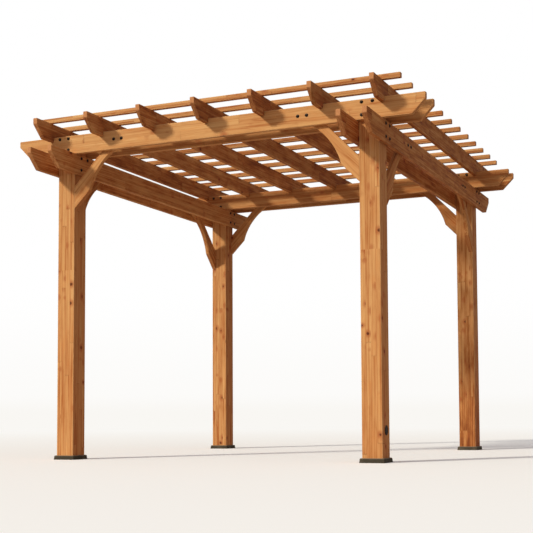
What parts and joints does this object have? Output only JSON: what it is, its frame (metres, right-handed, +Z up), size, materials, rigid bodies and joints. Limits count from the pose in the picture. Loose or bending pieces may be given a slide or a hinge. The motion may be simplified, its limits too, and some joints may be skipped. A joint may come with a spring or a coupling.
{
  "type": "wooden pergola",
  "caption": "Freestanding open garden pergola: square posts in black boots, paired side beams and headers, curved knee braces, notched rafters and cross slats.",
  "frame": {"origin": "on the floor, at the middle of the four posts", "axes": "+X to the right along the headers as seen from the front, +Y from front to back, +Z up"},
  "size_m": [3.124, 3.124, 2.469],
  "materials": {
    "post_wood": "stained glue-laminated softwood, satin",
    "header_wood": "stained softwood board, satin",
    "beam_wood": "stained softwood board, satin",
    "brace_wood": "stained softwood board, satin",
    "rafter_wood": "stained softwood board, satin",
    "slat_wood": "stained softwood batten, satin",
    "boot_plastic": "matt black moulded plastic",
    "black_metal": "black coated steel"
  },
  "bodies": {
    "root": {"post_front_left": "post_wood", "post_front_right": "post_wood", "post_back_left": "post_wood", "post_back_right": "post_wood", "boot_front_left": "boot_plastic", "boot_front_right": "boot_plastic", "boot_back_left": "boot_plastic", "boot_back_right": "boot_plastic", "header_front_outer": "header_wood", "header_front_inner": "header_wood", "header_back_inner": "header_wood", "header_back_outer": "header_wood", "beam_left_outer": "beam_wood", "beam_left_inner": "beam_wood", "beam_right_inner": "beam_wood", "beam_right_outer": "beam_wood", "header_brace_front_left": "brace_wood", "header_brace_front_right": "brace_wood", "header_brace_back_left": "brace_wood", "header_brace_back_right": "brace_wood", "beam_brace_front_left": "brace_wood", "beam_brace_front_right": "brace_wood", "beam_brace_back_left": "brace_wood", "beam_brace_back_right": "brace_wood", "rafter_1": "rafter_wood", "rafter_2": "rafter_wood", "rafter_3": "rafter_wood", "rafter_4": "rafter_wood", "rafter_5": "rafter_wood", "rafter_6": "rafter_wood", "rafter_7": "rafter_wood", "slat_1": "slat_wood", "slat_2": "slat_wood", "slat_3": "slat_wood", "slat_4": "slat_wood", "slat_5": "slat_wood", "slat_6": "slat_wood", "slat_7": "slat_wood", "slat_8": "slat_wood", "slat_9": "slat_wood", "slat_10": "slat_wood", "slat_11": "slat_wood", "slat_12": "slat_wood", "oval_plate": "black_metal"}
  },
  "joints": []
}
